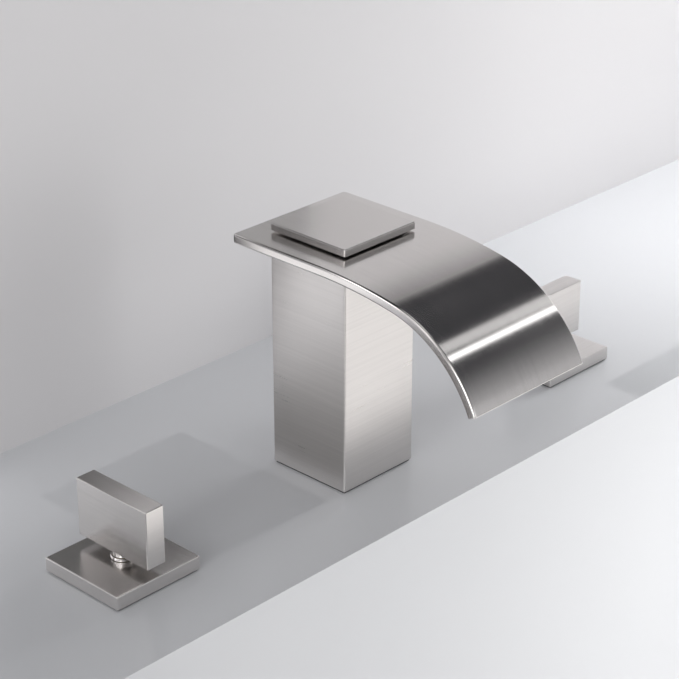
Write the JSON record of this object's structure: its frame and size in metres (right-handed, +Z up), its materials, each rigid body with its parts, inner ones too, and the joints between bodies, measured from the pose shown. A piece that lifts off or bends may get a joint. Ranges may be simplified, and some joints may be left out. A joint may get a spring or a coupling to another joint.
{
  "type": "roman tub faucet",
  "caption": "Deck-mounted tub faucet with a square column, a wide curved waterfall spout, and separate hot and cold valves with rectangular lever blocks on square escutcheons.",
  "frame": {"origin": "the middle of the square column's foot, on the deck plane", "axes": "+Z up, +X to the cold valve, +Y to the wall behind the tub, so water falls to -Y"},
  "size_m": [0.3635, 0.1568, 0.2173],
  "materials": {
    "brushed_nickel": "brushed nickel",
    "brass": "machined",
    "zinc_steel": "zinc plated",
    "rubber": "matt black",
    "nylon": "natural white",
    "alumina": "lapped ceramic"
  },
  "bodies": {
    "faucet_body": {"base_gasket": "rubber", "spout_column": "brushed_nickel", "base_guide": "nylon", "riser_pipe": "brass", "inlet_seal": "rubber", "waterfall_spout": "brushed_nickel", "cap_plate": "brushed_nickel", "left_cap_stud": "zinc_steel", "right_cap_stud": "zinc_steel", "left_stud_washer": "zinc_steel", "right_stud_washer": "zinc_steel", "left_stud_nut": "brass", "right_stud_nut": "brass", "spout_rubber_washer": "rubber", "spout_steel_washer": "zinc_steel", "spout_lock_nut": "brass", "hot_gasket": "rubber", "hot_flange_nut": "brass", "hot_escutcheon": "brushed_nickel", "hot_escutcheon_ring": "brushed_nickel", "hot_valve_body": "brass", "hot_inlet_tube": "brass", "hot_cartridge_body": "brass", "hot_gland_nut": "brass", "hot_disc_seal": "rubber", "hot_fixed_disc": "alumina", "hot_rubber_washer": "rubber", "hot_steel_washer": "zinc_steel", "hot_lock_nut": "brass", "cold_gasket": "rubber", "cold_flange_nut": "brass", "cold_escutcheon": "brushed_nickel", "cold_escutcheon_ring": "brushed_nickel", "cold_valve_body": "brass", "cold_inlet_tube": "brass", "cold_cartridge_body": "brass", "cold_gland_nut": "brass", "cold_disc_seal": "rubber", "cold_fixed_disc": "alumina", "cold_rubber_washer": "rubber", "cold_steel_washer": "zinc_steel", "cold_lock_nut": "brass"},
    "hot_lever": {"hot_moving_disc": "alumina", "hot_spindle": "brass", "hot_stem_sleeve": "brushed_nickel", "hot_lever_block": "brushed_nickel", "hot_set_screw": "zinc_steel"},
    "cold_lever": {"cold_moving_disc": "alumina", "cold_spindle": "brass", "cold_stem_sleeve": "brushed_nickel", "cold_lever_block": "brushed_nickel", "cold_set_screw": "zinc_steel"}
  },
  "joints": [
    {"name": "hot_lever_turn", "type": "hinge", "parent": "faucet_body", "child": "hot_lever", "pos_m": [-0.149, 0, 0.0276], "axis": [0, 0, 1], "range_deg": [-90, 0]},
    {"name": "cold_lever_turn", "type": "hinge", "parent": "faucet_body", "child": "cold_lever", "pos_m": [0.1635, 0, 0.0276], "axis": [0, 0, 1], "range_deg": [-90, 0]}
  ]
}
